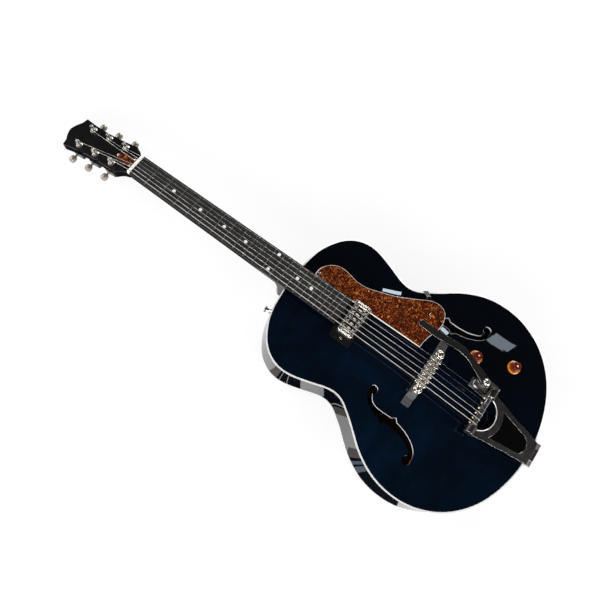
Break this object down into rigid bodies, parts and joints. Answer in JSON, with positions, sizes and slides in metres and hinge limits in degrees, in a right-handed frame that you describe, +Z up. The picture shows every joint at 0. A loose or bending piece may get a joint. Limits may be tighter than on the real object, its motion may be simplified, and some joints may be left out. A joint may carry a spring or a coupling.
{
  "type": "archtop guitar",
  "caption": "Hollow arched-top electric guitar with f-shaped sound holes, floating bridge, V-shaped sprung vibrato tailpiece and arm, pickup, knobs and geared tuners.",
  "frame": {"origin": "on the floor under the middle of the box, with the guitar lying on its back", "axes": "+X to the treble side, +Y along the neck to the headstock, +Z up out of the top"},
  "size_m": [0.4078, 1.0468, 0.1518],
  "materials": {
    "blue_top": "translucent blue gloss lacquer",
    "blue_side": "dark blue gloss lacquer",
    "binding": "gloss",
    "inner_wood": "raw",
    "neck_wood": "dark gloss lacquer",
    "head_face": "black gloss",
    "board_wood": "satin",
    "fret_wire": "polished",
    "pearl": "pearl",
    "bone": "satin",
    "steel": "plain",
    "tortoise": "mottled tortoise gloss",
    "nickel": "polished",
    "pewter": "dark polished",
    "black_plastic": "satin",
    "panel_black": "black gloss",
    "ebony": "satin",
    "amber": "translucent amber gloss",
    "string_wire": "wound wire",
    "copper_coil": "enamelled wire"
  },
  "bodies": {
    "guitar": {"top_plate": "blue_top", "back_plate": "blue_side", "bass_side": "blue_side", "treble_side": "blue_side", "top_binding": "binding", "back_binding": "binding", "linings": "inner_wood", "neck_block": "inner_wood", "tail_block": "inner_wood", "tone_bars": "inner_wood", "neck": "neck_wood", "headstock_face": "head_face", "fingerboard": "board_wood", "frets": "fret_wire", "fret_markers": "pearl", "nut": "bone", "truss_rod": "steel", "truss_rod_cover": "tortoise", "trim_screws": "nickel", "tuner_housings": "nickel", "tuner_bushings": "nickel", "pickguard": "tortoise", "pickguard_base": "binding", "pickguard_bracket": "nickel", "pickup_surround": "black_plastic", "pickup_cover": "nickel", "pickup_coil": "copper_coil", "bridge_base": "ebony", "bridge_posts": "steel", "bridge_thumbwheels": "nickel", "bridge_body": "nickel", "bridge_saddles": "nickel", "vibrato_hinge_plate": "nickel", "vibrato_hinge_pin": "steel", "vibrato_frame": "pewter", "vibrato_panel": "panel_black", "vibrato_bearings": "steel", "output_jack": "nickel", "strap_buttons": "nickel", "control_pots": "steel", "strings": "string_wire", "vibrato_spring": "steel"},
    "rocker": {"vibrato_bar": "nickel", "arm_bracket": "nickel", "arm_bolt": "nickel"},
    "arm": {"vibrato_arm": "nickel"},
    "volume": {"volume_knob": "amber"},
    "tone": {"tone_knob": "amber"},
    "key_1": {"tuner_key_1": "nickel"},
    "post_1": {"tuner_post_1": "nickel"},
    "key_2": {"tuner_key_2": "nickel"},
    "post_2": {"tuner_post_2": "nickel"},
    "key_3": {"tuner_key_3": "nickel"},
    "post_3": {"tuner_post_3": "nickel"},
    "key_4": {"tuner_key_4": "nickel"},
    "post_4": {"tuner_post_4": "nickel"},
    "key_5": {"tuner_key_5": "nickel"},
    "post_5": {"tuner_post_5": "nickel"},
    "key_6": {"tuner_key_6": "nickel"},
    "post_6": {"tuner_post_6": "nickel"}
  },
  "joints": [
    {"name": "vibrato_rock", "type": "hinge", "parent": "guitar", "child": "rocker", "pos_m": [0, -0.38992, 0.12377], "axis": [-1, 0, 0], "range_deg": [-5, 8], "stiffness_Nm_per_rad": 20, "deforming": ["vibrato_spring", "strings"]},
    {"name": "arm_swivel", "type": "hinge", "parent": "rocker", "child": "arm", "pos_m": [0.0405, -0.36579, 0.1382], "axis": [0, 0.0436, -0.999], "range_deg": [-5, 120]},
    {"name": "volume_turn", "type": "hinge", "parent": "guitar", "child": "volume", "pos_m": [0.0829, -0.33721, 0.10376], "axis": [0, 0, -1], "range_deg": [-150, 150]},
    {"name": "tone_turn", "type": "hinge", "parent": "guitar", "child": "tone", "pos_m": [0.1128, -0.40601, 0.09855], "axis": [0, 0, -1], "range_deg": [-150, 150]},
    {"name": "key_1_turn", "type": "hinge", "parent": "guitar", "child": "key_1", "pos_m": [0.0366, 0.40145, 0.05504], "axis": [1, 0, 0], "continuous": true},
    {"name": "post_1_turn", "type": "hinge", "parent": "guitar", "child": "post_1", "pos_m": [0.02, 0.40063, 0.07703], "axis": [0, 0.3287, 0.9444], "continuous": true},
    {"name": "key_2_turn", "type": "hinge", "parent": "guitar", "child": "key_2", "pos_m": [0.0366, 0.44149, 0.0411], "axis": [1, 0, 0], "continuous": true},
    {"name": "post_2_turn", "type": "hinge", "parent": "guitar", "child": "post_2", "pos_m": [0.02, 0.44068, 0.06309], "axis": [0, 0.3287, 0.9444], "continuous": true},
    {"name": "key_3_turn", "type": "hinge", "parent": "guitar", "child": "key_3", "pos_m": [0.0366, 0.48154, 0.02717], "axis": [1, 0, 0], "continuous": true},
    {"name": "post_3_turn", "type": "hinge", "parent": "guitar", "child": "post_3", "pos_m": [0.02, 0.48072, 0.04916], "axis": [0, 0.3287, 0.9444], "continuous": true},
    {"name": "key_4_turn", "type": "hinge", "parent": "guitar", "child": "key_4", "pos_m": [-0.0366, 0.48154, 0.02717], "axis": [-1, 0, 0], "continuous": true},
    {"name": "post_4_turn", "type": "hinge", "parent": "guitar", "child": "post_4", "pos_m": [-0.02, 0.48072, 0.04916], "axis": [0, 0.3287, 0.9444], "continuous": true},
    {"name": "key_5_turn", "type": "hinge", "parent": "guitar", "child": "key_5", "pos_m": [-0.0366, 0.44149, 0.0411], "axis": [-1, 0, 0], "continuous": true},
    {"name": "post_5_turn", "type": "hinge", "parent": "guitar", "child": "post_5", "pos_m": [-0.02, 0.44068, 0.06309], "axis": [0, 0.3287, 0.9444], "continuous": true},
    {"name": "key_6_turn", "type": "hinge", "parent": "guitar", "child": "key_6", "pos_m": [-0.0366, 0.40145, 0.05504], "axis": [-1, 0, 0], "continuous": true},
    {"name": "post_6_turn", "type": "hinge", "parent": "guitar", "child": "post_6", "pos_m": [-0.02, 0.40063, 0.07703], "axis": [0, 0.3287, 0.9444], "continuous": true}
  ],
  "couplings": [
    {"joint": "post_1_turn", "follows": "key_1_turn", "ratio": -0.066667},
    {"joint": "post_2_turn", "follows": "key_2_turn", "ratio": -0.066667},
    {"joint": "post_3_turn", "follows": "key_3_turn", "ratio": -0.066667},
    {"joint": "post_4_turn", "follows": "key_4_turn", "ratio": 0.066667},
    {"joint": "post_5_turn", "follows": "key_5_turn", "ratio": 0.066667},
    {"joint": "post_6_turn", "follows": "key_6_turn", "ratio": 0.066667}
  ]
}
